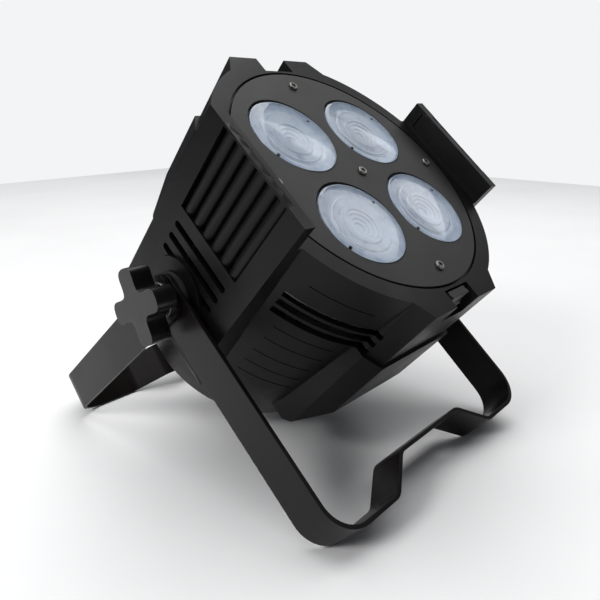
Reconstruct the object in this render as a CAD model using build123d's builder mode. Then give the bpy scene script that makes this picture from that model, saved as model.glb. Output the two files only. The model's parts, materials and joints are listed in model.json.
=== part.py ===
from build123d import *
from math import acos, atan2, cos, hypot, radians, sin, sqrt
import os

os.makedirs("parts", exist_ok=True)

# ---------------------------------------------------------------------------
# LED par can on a double yoke, standing on the floor on both yokes.
# Millimetres. +X runs along the pivot axis, -Y is the way the beam points,
# +Z is up, and the origin lies on the floor under the middle of the lamp.
# Head sizes are given along the beam (z, from the pivot axis towards the
# lenses), along the pivot axis (x) and square to both (y, up when aimed).
# ---------------------------------------------------------------------------

# Aim
aim_elevation = 48.9        # beam above the floor, degrees

# Fasteners
screw_radius, screw_head_radius, screw_head_height = 1.9, 3.4, 1.9
thread_clearance = 0.05
post_radius = 4.5           # screw posts and hexagonal standoffs

# Lenses, whose size and spacing set the face
lens_radius = 31.9
lens_flange = 2.2
lens_flange_thickness = 3.0
lens_crown = 2.0
lens_foot_radius = 12.0
lens_holder_wall = 1.6
lens_clearance = 0.3
lens_gap = 2.0              # between neighbouring lens holders
lens_margin = 1.7           # from the holders to the face ledge

# Face plate and the housing's rim round it
face_z = 99.0
face_plate_thickness = 3.0
face_ledge_width = 5.2
face_ledge_thickness = 4.0
face_gap = 1.6
face_rim = 11.6
face_screw_inset = 13.15

# Housing of revolution: radius at each height along the beam
wall = 3.0                  # moulded housing wall
seam = 0.3                  # gap between the two housing halves
belly_z, belly_draft = 45.0, 4.4
waist_z, waist_radius = -40.0, 97.0
tail_z, tail_radius = -72.0, 88.5
rear_z, rear_radius = -88.0, 83.0

# Side blocks (pivot sides), which stand proud of the face as frame guides
side_stand = 1.6            # flat side beyond the housing's front radius
side_half_width = 45.0
guide_height = 18.0
guide_thickness = 8.0
side_rear_z = -28.0
side_foot_z = -52.0

# Top and bottom blocks with the latch pockets
block_stand = 2.6           # block beyond the housing's front radius
block_step, block_step_z = 2.4, 46.0
block_half_width = 39.0
block_base_half_width = 47.3
block_base_drop = 13.0
block_shoulder_z, block_tip_z = -13.0, -46.0
block_foot_z = -52.0
pocket_width = 28.0
pocket_inset = 12.5
pocket_depth = 16.0

# Fluted window and vents on the side blocks
flute_count = 6
flute_pitch = 10.0
flute_depth = 5.0
flute_ridge_radius = 4.3
window_z = 53.0
vent_z = (41.0, 30.5, 20.0)
vent_length, vent_width = 56.0, 5.0
vent_rib_y, vent_rib_width = 9.0, 2.0

# Louvres on the four curved quarters
louvre_z = (64.0, 56.0, 48.0)
louvre_width = 4.0
louvre_lip = 1.0
louvre_span = (28.3, 69.0)  # degrees from the pivot axis, as are the grooves'
groove_depth, groove_width = 0.5, 0.8
groove_z = (79.0, 34.0, 20.5, 5.0, -8.5, -21.0)
groove_span = (33.0, 57.0)

# Light engine
cob_size, cob_thickness = 24.0, 1.2
emitter_radius, emitter_thickness = 8.5, 0.8
sink_plate_z, sink_plate_thickness = 62.0, 8.0
sink_gap = 2.2              # heat sink to housing wall
fin_count, fin_pitch, fin_thickness, fin_height = 21, 7.5, 2.5, 30.0
fin_field_inset = 19.5

# Fan
fan_size, fan_depth = 92.0, 25.4
fan_rim = 2.0               # frame left beside the bore
fan_hole_inset = 4.75
fan_tip_clearance = 1.5
fan_hub_radius = 18.5
fan_blades = 7
fan_blade_thickness, blade_pitch = 1.6, 38.0
fan_shaft_radius = 2.0
motor_mount_thickness = 3.0

# Chassis and boards
chassis_z, chassis_thickness = -38.5, 1.5
chassis_gap = 2.0           # chassis to housing wall
board_length, board_width, board_thickness = 104.0, 54.0, 1.6
board_y, board_height = 33.0, 5.0

# Rear panel, display and sockets
panel_rim = 3.2             # housing edge round the panel's seat
panel_gap = 0.3
panel_thickness = 3.0
panel_ledge_width, panel_ledge_thickness = 8.0, 3.0
panel_screw_inset, chassis_post_inset = 3.9, 2.5
window_size = (46.0, 20.0)
display_y = 42.0
button_y, button_pitch = 21.0, 14.0
button_names = ("menu", "down", "up", "enter")
button_radius, button_flange, button_travel = 3.5, 1.2, 0.8
button_proud = 1.4
control_gap = 9.0
inlet_place = (-36.0, -30.0)
inlet_body, inlet_flange = (27.0, 19.5), (31.0, 25.0)
inlet_depth, pin_recess = 24.0, 4.0
fuse_place, fuse_radius = (-62.0, -6.0), 6.0
socket_place_in, socket_place_out = (10.0, -34.0), (43.0, -34.0)
socket_body_radius, socket_depth = 11.5, 22.0
socket_flange = (26.0, 31.0)
eye_y, eye_span, eye_wire_radius, eye_height = 63.0, 18.0, 2.0, 15.0

# Pivots, yokes and clamp knobs
pivot_boss_radius, pivot_boss_height = 27.0, 2.0
stud_radius = 4.0
stud_sleeve = 1.5           # moulded-in sleeve round the stud, inside the knob
running_clearance = 0.05
hole_clearance = 0.08
friction_gap = 0.1
washer_radius, washer_thickness = 17.0, 2.4
strip_width, strip_thickness = 30.0, 3.0
arm_gap = 0.6
arm_end = 13.0
arm_end_radius = 9.0
yoke_nest = 2.0
swing_clearance = 9.25      # between the turning head and the foot of its yoke
hat_height = 20.0
hat_top_half, hat_foot_half = 37.0, 62.0
bend_radius, hat_bend_radius = 22.0, 10.0
bolt_radius = 5.5
knob_radius, knob_thickness, knob_hub_height = 25.0, 14.0, 3.2
knob_lobe_radius, knob_core_radius = 8.0, 14.0
knob_washer_thickness = 1.6
stud_reach = 11.0
nut_thickness, nut_radius = 6.5, 7.5

# ---------------------------------------------------------------------------
# Fits: sizes that follow from the ones above
# ---------------------------------------------------------------------------
lens_holder_radius = lens_radius + lens_flange + lens_clearance + lens_holder_wall
lens_pitch = 2 * lens_holder_radius + lens_gap
face_ledge_radius = lens_pitch / sqrt(2) + lens_holder_radius + lens_margin
face_plate_radius = face_ledge_radius + face_ledge_width
screw_circle = face_plate_radius - face_screw_inset
front_radius = face_plate_radius + face_gap + face_rim
belly_radius = front_radius - belly_draft

side_x = front_radius + side_stand
block_y = front_radius + block_stand
block_base_y = block_y - block_base_drop
block_tip_y = waist_radius
pocket_floor_y = block_y - pocket_inset

panel_radius = rear_radius - panel_rim - panel_gap
panel_ledge_radius = panel_radius - panel_ledge_width
panel_screw_circle = panel_radius - panel_screw_inset
chassis_post_circle = panel_radius - chassis_post_inset
fan_bore_radius = fan_size / 2 - fan_rim
fan_hole_pitch = fan_size - 2 * fan_hole_inset

boss_face_x = side_x + pivot_boss_height
inner_arm_x = boss_face_x + washer_thickness + friction_gap
front_yoke_length = hypot(block_y, face_z) + swing_clearance + hat_height + strip_thickness

# ---------------------------------------------------------------------------
# Frames. The front yoke hangs square to the beam, so its foot sets how high
# the pivot stands; the rear yoke is splayed until its foot meets the floor.
# ---------------------------------------------------------------------------
half_strip = strip_width / 2
rear_yoke_length = front_yoke_length + strip_thickness + yoke_nest
elevation = radians(aim_elevation)
pivot_height = front_yoke_length * cos(elevation) + half_strip * sin(elevation)
rear_foot_reach = hypot(rear_yoke_length, half_strip)
rear_splay = acos(pivot_height / rear_foot_reach) + atan2(half_strip, rear_yoke_length)

foremost = block_y * sin(elevation) + face_z * cos(elevation)
rearmost = rear_yoke_length * sin(rear_splay) + half_strip * cos(rear_splay)
pivot_y = (foremost - rearmost) / 2
pivot = Vector(0, pivot_y, pivot_height)

beam = Vector(0, -cos(elevation), sin(elevation))
HEAD = Plane(origin=pivot, x_dir=(1, 0, 0), z_dir=beam)
SIDE = Plane(origin=pivot, x_dir=(1, 0, 0), z_dir=HEAD.y_dir * -1)
FORE_AFT = Plane(origin=pivot, x_dir=HEAD.y_dir, z_dir=(1, 0, 0))
BEAM = Axis(pivot, beam)
front_yoke_dir = HEAD.y_dir * -1
rear_yoke_dir = Vector(0, sin(rear_splay), -cos(rear_splay))


def across(height):
    """Plane square to the beam, at a height in front of the pivot axis."""
    return HEAD.offset(height)


def head_point(x, y, z):
    """A point given in head sizes, in the model's own frame."""
    return pivot + HEAD.x_dir * x + HEAD.y_dir * y + HEAD.z_dir * z


def side_plane(side):
    """Plane of the pivot axis's end on one side (-1 left, +1 right), facing outwards."""
    return Plane(origin=pivot, x_dir=HEAD.y_dir, z_dir=(side, 0, 0))


def spoke(angle):
    """The direction square to the beam at an angle round it, from +X towards the head's top."""
    return HEAD.x_dir * cos(radians(angle)) + HEAD.y_dir * sin(radians(angle))


def right_posts(circle):
    """The two diagonal post places of the right half."""
    reach = circle * cos(radians(45))
    return [(reach, -reach), (reach, reach)]


def finish(piece, label):
    """Label a finished piece and write its file."""
    piece.part.label = label
    export_step(piece.part, f"parts/{label}.step")


# ---------------------------------------------------------------------------
# Housing: one moulded form, hollowed, then parted into two halves
# ---------------------------------------------------------------------------
lens_seat_z = face_z - face_plate_thickness
ledge_z = lens_seat_z - face_ledge_thickness
guide_z = face_z + guide_height
guide_inner_x = side_x - guide_thickness
window_floor_x = side_x - flute_depth
panel_ledge_z = rear_z + panel_thickness


def end_blocks(inset, top_z):
    """The top and bottom blocks as one prism through the housing, shrunk by inset."""
    with BuildPart() as prism:
        with BuildSketch(across(top_z)):
            with BuildLine():
                Polyline(
                    (block_half_width - inset, block_y - inset),
                    (block_base_half_width - inset, block_base_y - inset),
                    (block_base_half_width - inset, inset - block_base_y),
                    (block_half_width - inset, inset - block_y),
                    (inset - block_half_width, inset - block_y),
                    (inset - block_base_half_width, inset - block_base_y),
                    (inset - block_base_half_width, block_base_y - inset),
                    (inset - block_half_width, block_y - inset),
                    close=True,
                )
            make_face()
        extrude(amount=block_foot_z - top_z)
        with BuildSketch(FORE_AFT):
            with BuildLine():
                Polyline(
                    (block_y - inset, face_z),
                    (block_y - inset, block_shoulder_z),
                    (block_tip_y - inset, block_tip_z),
                    (block_tip_y - 2 * wall - inset, block_foot_z),
                    (inset + 2 * wall - block_tip_y, block_foot_z),
                    (inset - block_tip_y, block_tip_z),
                    (inset - block_y, block_shoulder_z),
                    (inset - block_y, face_z),
                    close=True,
                )
            make_face()
        extrude(amount=side_x, both=True, mode=Mode.INTERSECT)
    return prism.part


def housing_form(inset, floor_z, roof_z):
    """The housing's outer form shrunk by inset, between two heights."""
    blocks = end_blocks(inset, face_z)
    block_feet = end_blocks(inset - block_step, block_step_z - inset)
    with BuildPart() as form:
        with BuildSketch(SIDE):
            with BuildLine():
                Polyline(
                    (0, rear_z),
                    (rear_radius - inset, rear_z),
                    (tail_radius - inset, tail_z),
                    (waist_radius - inset, waist_z),
                    (belly_radius - inset, belly_z),
                    (front_radius - inset, face_z),
                    (0, face_z),
                    close=True,
                )
            make_face()
        revolve(axis=BEAM)
        with BuildSketch(SIDE):
            with BuildLine():
                Polyline(
                    (inset - side_x, guide_z),
                    (inset - side_x, side_rear_z),
                    (inset - waist_radius + wall, side_foot_z + inset),
                    (waist_radius - wall - inset, side_foot_z + inset),
                    (side_x - inset, side_rear_z),
                    (side_x - inset, guide_z),
                    close=True,
                )
            make_face()
        extrude(amount=side_half_width - inset, both=True)
        add(blocks)
        add(block_feet)
        with BuildSketch(across(floor_z)):
            Circle(2 * side_x)
        extrude(amount=roof_z - floor_z, mode=Mode.INTERSECT)
    return form.part


outer_form = housing_form(0, rear_z, guide_z)
cavity = housing_form(wall, panel_ledge_z + panel_ledge_thickness, ledge_z)


def radius_at(z):
    """Outer radius of the round housing at a height."""
    stations = ((rear_z, rear_radius), (tail_z, tail_radius), (waist_z, waist_radius),
                (belly_z, belly_radius), (face_z, front_radius))
    for (low, r_low), (high, r_high) in zip(stations, stations[1:]):
        if low <= z <= high:
            return r_low + (r_high - r_low) * (z - low) / (high - low)


sink_radius = radius_at(sink_plate_z - sink_plate_thickness) - wall - sink_gap
sink_post_circle = sink_radius - post_radius
fin_field_radius = sink_radius - fin_field_inset
chassis_radius = radius_at(chassis_z - chassis_thickness) - wall - chassis_gap
half_window = flute_count * flute_pitch / 2


def quarter_rings(bands, first, last):
    """Rings round the two curved quarters of the right half: (low, high, inner, outer) each."""
    with BuildPart() as rings:
        for start in (first, -last):
            outwards = spoke(start)
            with BuildSketch(Plane(origin=pivot, x_dir=outwards, z_dir=outwards.cross(beam))):
                for low, high, inner, outer in bands:
                    with Locations(((inner + outer) / 2, (low + high) / 2)):
                        Rectangle(outer - inner, high - low)
            revolve(axis=BEAM, revolution_arc=last - first)
    return rings.part


half_louvre = louvre_width / 2
slots = [(z - half_louvre, z + half_louvre, radius_at(z) - 2 * wall, side_x) for z in louvre_z]
lips = [(z - half_louvre - louvre_lip, z - half_louvre, radius_at(z) - wall / 2, radius_at(z) + louvre_lip)
        for z in louvre_z]
grooves = [(z, z + groove_width, radius_at(z) - groove_depth, side_x) for z in groove_z]
louvre_slots = quarter_rings(slots, *louvre_span)
louvre_lips = quarter_rings(lips, *louvre_span)
arc_grooves = quarter_rings(grooves, *groove_span)

# The cavity steps in behind the fluted window and the latch pockets.
with BuildPart() as hollow:
    add(cavity)
    with BuildSketch(across(window_z - wall)):
        with Locations((window_floor_x - wall + side_x / 2, 0)):
            Rectangle(side_x, 2 * (half_window + wall))
    extrude(amount=guide_z - window_z, mode=Mode.SUBTRACT)
    with BuildSketch(across(face_z - pocket_depth - wall)):
        for end in (-1, 1):
            with Locations((0, end * (pocket_floor_y - wall + block_y / 2))):
                Rectangle(pocket_width + 2 * wall, block_y)
    extrude(amount=pocket_depth + wall, mode=Mode.SUBTRACT)

RIGHT = side_plane(1)

with BuildPart() as right_shell:
    add(outer_form)
    split(bisect_by=Plane.YZ.offset(seam / 2), keep=Keep.TOP)
    add(hollow.part, mode=Mode.SUBTRACT)
    # Clear the space in front of the face, inside the frame guide.
    with BuildSketch(across(face_z)):
        Rectangle(2 * guide_inner_x, 4 * block_y)
    extrude(amount=guide_height, mode=Mode.SUBTRACT)
    # Face plate seat and the opening inside its ledge
    with BuildSketch(across(lens_seat_z)):
        Circle(face_plate_radius + face_gap)
    extrude(amount=face_plate_thickness, mode=Mode.SUBTRACT)
    with BuildSketch(across(ledge_z)):
        Circle(face_ledge_radius)
    extrude(amount=face_ledge_thickness, mode=Mode.SUBTRACT)
    # Rear panel seat and the opening inside its ledge
    with BuildSketch(across(rear_z)):
        Circle(panel_radius + panel_gap)
    extrude(amount=panel_thickness, mode=Mode.SUBTRACT)
    with BuildSketch(across(panel_ledge_z)):
        Circle(panel_ledge_radius)
        with PolarLocations(panel_screw_circle, 6, start_angle=30):
            Circle(screw_radius + thread_clearance)
    extrude(amount=panel_ledge_thickness, mode=Mode.SUBTRACT)
    # Fluted window, open towards the beam
    with BuildSketch(across(window_z)):
        with Locations((window_floor_x + side_x / 2, 0)):
            Rectangle(side_x, 2 * half_window)
        with Locations((window_floor_x, 0)):
            with GridLocations(flute_pitch, flute_pitch, 1, flute_count):
                Circle(flute_ridge_radius, mode=Mode.SUBTRACT)
    extrude(amount=guide_z - window_z, mode=Mode.SUBTRACT)
    # Frame channel along the inner face of the guide
    with BuildSketch(across(face_z + wall)):
        with Locations((guide_inner_x, 0)):
            Rectangle(wall - 0.6, 2 * side_half_width - 6 * wall)
    extrude(amount=guide_height - 2 * wall, mode=Mode.SUBTRACT)
    # Vents, with one upright rib behind them
    with BuildSketch(RIGHT.offset(side_x - 2 * wall)):
        for z in vent_z:
            with Locations((0, z)):
                SlotOverall(vent_length, vent_width)
    extrude(amount=4 * wall, mode=Mode.SUBTRACT)
    with BuildSketch(RIGHT.offset(side_x - wall)):
        with Locations((vent_rib_y, (vent_z[0] + vent_z[2]) / 2)):
            Rectangle(vent_rib_width, vent_z[0] - vent_z[2] + 3 * vent_width)
    extrude(amount=-wall)
    # Pivot boss, thickened inside for the nut
    with BuildSketch(RIGHT.offset(side_x - 2 * wall)):
        Circle(washer_radius)
    extrude(amount=wall)
    with BuildSketch(RIGHT.offset(side_x - wall)):
        Circle(pivot_boss_radius)
    extrude(amount=wall + pivot_boss_height)
    with BuildSketch(RIGHT.offset(side_x - 4 * wall)):
        Circle(stud_radius + hole_clearance)
    extrude(amount=8 * wall, mode=Mode.SUBTRACT)
    # Latch pockets in the top and bottom blocks
    with BuildSketch(across(face_z - pocket_depth)):
        for end in (-1, 1):
            with Locations((0, end * (pocket_floor_y + block_y / 2))):
                Rectangle(pocket_width, block_y)
    extrude(amount=pocket_depth, mode=Mode.SUBTRACT)
    # Louvres with raised lips, and thin grooves above and below them
    add(louvre_slots, mode=Mode.SUBTRACT)
    add(arc_grooves, mode=Mode.SUBTRACT)
    add(louvre_lips)
    # Posts for the light engine, hung from the face ledge
    with BuildSketch(across(sink_plate_z)):
        with Locations(*right_posts(sink_post_circle)):
            Circle(post_radius)
            Circle(screw_radius + thread_clearance, mode=Mode.SUBTRACT)
    extrude(amount=ledge_z - sink_plate_z)
    # Posts for the chassis, standing on the rear ledge
    with BuildSketch(across(panel_ledge_z)):
        with Locations(*right_posts(chassis_post_circle)):
            Circle(post_radius)
            Circle(screw_radius + thread_clearance, mode=Mode.SUBTRACT)
    extrude(amount=chassis_z - chassis_thickness - panel_ledge_z)
finish(right_shell, "right_shell")

with BuildPart() as left_shell:
    mirror(right_shell.part, about=Plane.YZ)
finish(left_shell, "left_shell")

# ---------------------------------------------------------------------------
# Face plate, lenses and light engine
# ---------------------------------------------------------------------------
lens_places = [(x * lens_pitch / 2, y * lens_pitch / 2) for y in (1, -1) for x in (-1, 1)]
face_screw_places = [(screw_circle * cos(radians(90 * turn)), screw_circle * sin(radians(90 * turn)))
                     for turn in range(4)] + [(0, 0)]
lens_foot_z = sink_plate_z + cob_thickness + emitter_thickness + lens_clearance

with BuildPart() as face_plate:
    with BuildSketch(across(lens_seat_z)):
        Circle(face_plate_radius)
        with Locations(*lens_places):
            Circle(lens_radius + lens_clearance, mode=Mode.SUBTRACT)
        with Locations(*face_screw_places):
            Circle(screw_radius + thread_clearance, mode=Mode.SUBTRACT)
    extrude(amount=face_plate_thickness)
finish(face_plate, "face_plate")

with BuildPart() as heat_sink:
    with BuildSketch(across(sink_plate_z - sink_plate_thickness)):
        Circle(sink_radius)
        with PolarLocations(sink_post_circle, 4, start_angle=45):
            Circle(screw_radius + thread_clearance, mode=Mode.SUBTRACT)
    extrude(amount=sink_plate_thickness)
    with BuildSketch(across(sink_plate_z - sink_plate_thickness)):
        with GridLocations(fin_pitch, fin_pitch, fin_count, 1):
            Rectangle(fin_thickness, 2 * fin_field_radius)
        Circle(fin_field_radius, mode=Mode.INTERSECT)
    extrude(amount=-fin_height)
finish(heat_sink, "heat_sink")

with BuildPart() as face_standoffs:
    with BuildSketch(across(sink_plate_z)):
        with Locations(*face_screw_places):
            RegularPolygon(post_radius, 6)
            Circle(screw_radius + thread_clearance, mode=Mode.SUBTRACT)
    extrude(amount=lens_seat_z - sink_plate_z)
finish(face_standoffs, "face_standoffs")

for number, place in enumerate(lens_places, start=1):
    with BuildPart() as cob:
        with BuildSketch(across(sink_plate_z)):
            with Locations(place):
                Rectangle(cob_size, cob_size)
        extrude(amount=cob_thickness)
        with BuildSketch(across(sink_plate_z + cob_thickness)):
            with Locations(place):
                Circle(emitter_radius)
        extrude(amount=emitter_thickness)
    finish(cob, f"cob_led_{number}")

    with BuildPart() as holder:
        with BuildSketch(across(sink_plate_z)):
            with Locations(place):
                Circle(lens_holder_radius)
                Circle(lens_holder_radius - lens_holder_wall, mode=Mode.SUBTRACT)
        extrude(amount=lens_seat_z - sink_plate_z)
        with BuildSketch(across(lens_seat_z - lens_flange_thickness - lens_holder_wall)):
            with Locations(place):
                Circle(lens_holder_radius)
                Circle(lens_radius - lens_flange, mode=Mode.SUBTRACT)
        extrude(amount=lens_holder_wall)
    finish(holder, f"lens_holder_{number}")

    dome_height = 1.5 * lens_crown
    dome_radius = (lens_radius**2 + dome_height**2) / (2 * dome_height)
    dome_mid_drop = dome_radius - sqrt(dome_radius**2 - (lens_radius / 2) ** 2)
    lens_plane = Plane(origin=head_point(place[0], place[1], 0), x_dir=HEAD.x_dir, z_dir=SIDE.z_dir)
    cone_top_radius = lens_radius - 2 * lens_flange
    with BuildPart() as lens:
        with BuildSketch(lens_plane):
            with BuildLine():
                Polyline(
                    (0, lens_foot_z + emitter_radius),
                    (emitter_radius + lens_clearance, lens_foot_z + emitter_radius),
                    (emitter_radius + lens_clearance, lens_foot_z),
                    (lens_foot_radius, lens_foot_z),
                    (cone_top_radius, lens_seat_z - lens_flange_thickness),
                    (lens_radius + lens_flange, lens_seat_z - lens_flange_thickness),
                    (lens_radius + lens_flange, lens_seat_z),
                    (lens_radius, lens_seat_z),
                    (lens_radius, face_z - lens_crown / 2),
                )
                ThreePointArc(
                    (lens_radius, face_z - lens_crown / 2),
                    (lens_radius / 2, face_z + lens_crown - dome_mid_drop),
                    (0, face_z + lens_crown),
                )
                Line((0, face_z + lens_crown), (0, lens_foot_z + emitter_radius))
            make_face()
        revolve(axis=Axis(lens_plane.origin, beam))
    finish(lens, f"lens_{number}")


def screws(places, seat_z, length, facing=1):
    """Pan-head screws square to the beam, heads on a seat, facing the beam (1) or the rear (-1)."""
    with BuildPart() as group:
        with BuildSketch(across(seat_z)):
            with Locations(*places):
                Circle(screw_head_radius)
        extrude(amount=facing * screw_head_height)
        fillet(group.edges().filter_by(GeomType.CIRCLE).group_by(BEAM)[-facing if facing > 0 else 0],
               screw_head_height * 0.4)
        with BuildSketch(across(seat_z)):
            with Locations(*places):
                Circle(screw_radius)
        extrude(amount=-facing * length)
        with BuildSketch(across(seat_z + facing * screw_head_height)):
            with Locations(*places):
                RegularPolygon(screw_radius, 6)
        extrude(amount=-facing * screw_head_height * 0.6, mode=Mode.SUBTRACT)
    return group


def ring_places(circle, count, start):
    """Places evenly spaced round the beam."""
    angles = [radians(start + 360 * turn / count) for turn in range(count)]
    return [(circle * cos(angle), circle * sin(angle)) for angle in angles]


finish(screws(face_screw_places, face_z, 16), "face_screws")
finish(screws(ring_places(sink_post_circle, 4, 45), sink_plate_z - sink_plate_thickness, 18, -1),
       "heat_sink_screws")

# ---------------------------------------------------------------------------
# Cooling fan, under the heat sink
# ---------------------------------------------------------------------------
fan_top_z = sink_plate_z - sink_plate_thickness - fin_height
fan_bottom_z = fan_top_z - fan_depth
fan_hole_places = [(x * fan_hole_pitch / 2, y * fan_hole_pitch / 2) for x in (-1, 1) for y in (-1, 1)]

with BuildPart() as fan_frame:
    with BuildSketch(across(fan_bottom_z)):
        RectangleRounded(fan_size, fan_size, post_radius)
        Circle(fan_bore_radius, mode=Mode.SUBTRACT)
        with Locations(*fan_hole_places):
            Circle(screw_radius + thread_clearance, mode=Mode.SUBTRACT)
    extrude(amount=fan_depth)
    with BuildSketch(across(fan_bottom_z)):
        Circle(fan_hub_radius)
        with PolarLocations(0, 4, start_angle=45):
            Rectangle(2 * fan_bore_radius + wall, wall)
        Circle(fan_shaft_radius + running_clearance, mode=Mode.SUBTRACT)
    extrude(amount=motor_mount_thickness)
finish(fan_frame, "fan_frame")

with BuildPart() as fan_rotor:
    hub_z = fan_bottom_z + motor_mount_thickness + fan_tip_clearance
    with BuildSketch(across(hub_z)):
        Circle(fan_hub_radius)
    extrude(amount=fan_top_z - fan_tip_clearance - hub_z)
    with BuildSketch(across(fan_bottom_z)):
        Circle(fan_shaft_radius)
    extrude(amount=hub_z - fan_bottom_z)
    blade_height = fan_top_z - fan_tip_clearance - hub_z
    blade_reach = fan_bore_radius - fan_tip_clearance
    for blade in range(fan_blades):
        outwards = spoke(360 * blade / fan_blades)
        blade_plane = Plane(origin=pivot + outwards * (fan_hub_radius - wall),
                            x_dir=beam.cross(outwards), z_dir=outwards)
        with BuildSketch(blade_plane):
            with Locations((0, hub_z + blade_height / 2)):
                Rectangle(fan_blade_thickness, blade_height, rotation=-blade_pitch)
        extrude(amount=blade_reach - fan_hub_radius + wall)
    with BuildSketch(across(fan_bottom_z)):
        Circle(blade_reach)
    extrude(amount=fan_depth - fan_tip_clearance, mode=Mode.INTERSECT)
finish(fan_rotor, "fan_rotor")
finish(screws(fan_hole_places, fan_bottom_z, fan_depth, -1), "fan_screws")

# ---------------------------------------------------------------------------
# Chassis with the power supply and the lamp driver
# ---------------------------------------------------------------------------
board_z = chassis_z + board_height
board_corners = [(x * (board_length / 2 - 5), y * (board_width / 2 - 5)) for x in (-1, 1) for y in (-1, 1)]

with BuildPart() as chassis_plate:
    with BuildSketch(across(chassis_z - chassis_thickness)):
        Circle(chassis_radius)
        with PolarLocations(chassis_post_circle, 4, start_angle=45):
            Circle(screw_radius + thread_clearance, mode=Mode.SUBTRACT)
        with Locations((-(chassis_radius - 14), 0), (chassis_radius - 14, 0)):
            SlotOverall(34, 12, rotation=90, mode=Mode.SUBTRACT)
    extrude(amount=chassis_thickness)
finish(chassis_plate, "chassis_plate")
finish(screws(ring_places(chassis_post_circle, 4, 45), chassis_z, 12), "chassis_screws")


def board_places(side):
    """Screw places of the board on one side of the chassis."""
    return [(x, y + side * board_y) for x, y in board_corners]


def circuit_board(side):
    """A drilled circuit board on the chassis."""
    with BuildPart() as board:
        with BuildSketch(across(board_z)):
            with Locations((0, side * board_y)):
                Rectangle(board_length, board_width)
            with Locations(*board_places(side)):
                Circle(screw_radius + thread_clearance, mode=Mode.SUBTRACT)
        extrude(amount=board_thickness)
    return board


finish(circuit_board(1), "power_board")
finish(circuit_board(-1), "driver_board")

with BuildPart() as board_standoffs:
    with BuildSketch(across(chassis_z)):
        with Locations(*board_places(1), *board_places(-1)):
            RegularPolygon(post_radius - 1, 6)
            Circle(screw_radius + thread_clearance, mode=Mode.SUBTRACT)
    extrude(amount=board_height)
finish(board_standoffs, "board_standoffs")
finish(screws(board_places(1) + board_places(-1), board_z + board_thickness, board_height),
       "board_screws")

component_z = board_z + board_thickness
with BuildPart() as power_transformer:
    with BuildSketch(across(component_z)):
        with Locations((6, board_y)):
            Rectangle(30, 26)
    extrude(amount=20)
    with BuildSketch(across(component_z + 5)):
        with Locations((6, board_y)):
            Rectangle(20, 34)
    extrude(amount=10)
finish(power_transformer, "power_transformer")

with BuildPart() as power_capacitors:
    for x, radius in ((-22, 9), (28, 5), (-36, 5)):
        with BuildSketch(across(component_z)):
            with Locations((x, board_y)):
                Circle(radius)
        extrude(amount=3 * radius if radius < 9 else 2 * radius)
finish(power_capacitors, "power_capacitors")

with BuildPart() as driver_chokes:
    with BuildSketch(across(component_z)):
        with Locations((0, -board_y)):
            with GridLocations(22, 22, 4, 1):
                Circle(8)
                Circle(3, mode=Mode.SUBTRACT)
    extrude(amount=9)
finish(driver_chokes, "driver_chokes")

# ---------------------------------------------------------------------------
# Rear panel, display and sockets
# ---------------------------------------------------------------------------
button_places = [((number - (len(button_names) - 1) / 2) * button_pitch, button_y)
                 for number in range(len(button_names))]
control_z = panel_ledge_z + control_gap
control_centre_y = (display_y + button_y) / 2
control_size = (66.0, 46.0)
control_corners = [(x * (control_size[0] / 2 - 4), control_centre_y + y * (control_size[1] / 2 - 4))
                   for x in (-1, 1) for y in (-1, 1)]
panel_vents = [(x, y) for x in (-56, 56) for y in (12, 20, 28)]

with BuildPart() as rear_panel:
    with BuildSketch(across(rear_z)):
        Circle(panel_radius)
        with Locations((0, display_y)):
            Rectangle(window_size[0] + panel_gap, window_size[1] + panel_gap, mode=Mode.SUBTRACT)
        with Locations(*button_places):
            Circle(button_radius + running_clearance, mode=Mode.SUBTRACT)
        with Locations(inlet_place):
            Rectangle(inlet_body[0] + panel_gap, inlet_body[1] + panel_gap, mode=Mode.SUBTRACT)
        with Locations(fuse_place):
            Circle(fuse_radius + panel_gap, mode=Mode.SUBTRACT)
        with Locations(socket_place_in, socket_place_out):
            Circle(socket_body_radius + panel_gap, mode=Mode.SUBTRACT)
        with Locations(*panel_vents):
            SlotOverall(20, 4, mode=Mode.SUBTRACT)
        with PolarLocations(panel_screw_circle, 6, start_angle=30):
            Circle(screw_radius + thread_clearance, mode=Mode.SUBTRACT)
        with Locations((-eye_span / 2, eye_y), (eye_span / 2, eye_y)):
            Circle(eye_wire_radius + running_clearance, mode=Mode.SUBTRACT)
    extrude(amount=panel_thickness)
    with BuildSketch(across(panel_ledge_z)):
        with Locations(*control_corners):
            Circle(3)
    extrude(amount=control_gap)
finish(rear_panel, "rear_panel")
finish(screws(ring_places(panel_screw_circle, 6, 30), rear_z, 9, -1), "rear_screws")

with BuildPart() as control_board:
    with BuildSketch(across(control_z)):
        with Locations((0, control_centre_y)):
            Rectangle(*control_size)
    extrude(amount=board_thickness)
    with BuildSketch(across(control_z)):
        with Locations(*button_places):
            Rectangle(6, 6)
    extrude(amount=-(control_gap - button_flange - button_travel - 3))
finish(control_board, "control_board")

with BuildPart() as display_module:
    with BuildSketch(across(control_z)):
        with Locations((0, display_y)):
            Rectangle(window_size[0] - 4, window_size[1] - 3)
    extrude(amount=-control_gap)
finish(display_module, "display_module")

with BuildPart() as display_window:
    with BuildSketch(across(rear_z)):
        with Locations((0, display_y)):
            Rectangle(*window_size)
    extrude(amount=panel_thickness)
finish(display_window, "display_window")

for name, (x, y) in zip(button_names, button_places):
    with BuildPart() as button:
        with BuildSketch(across(rear_z - button_proud)):
            with Locations((x, y)):
                Circle(button_radius)
        extrude(amount=button_proud + panel_thickness + 3)
        with BuildSketch(across(panel_ledge_z + running_clearance)):
            with Locations((x, y)):
                Circle(button_radius + 1.2)
        extrude(amount=button_flange)
    finish(button, f"{name}_button")

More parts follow.
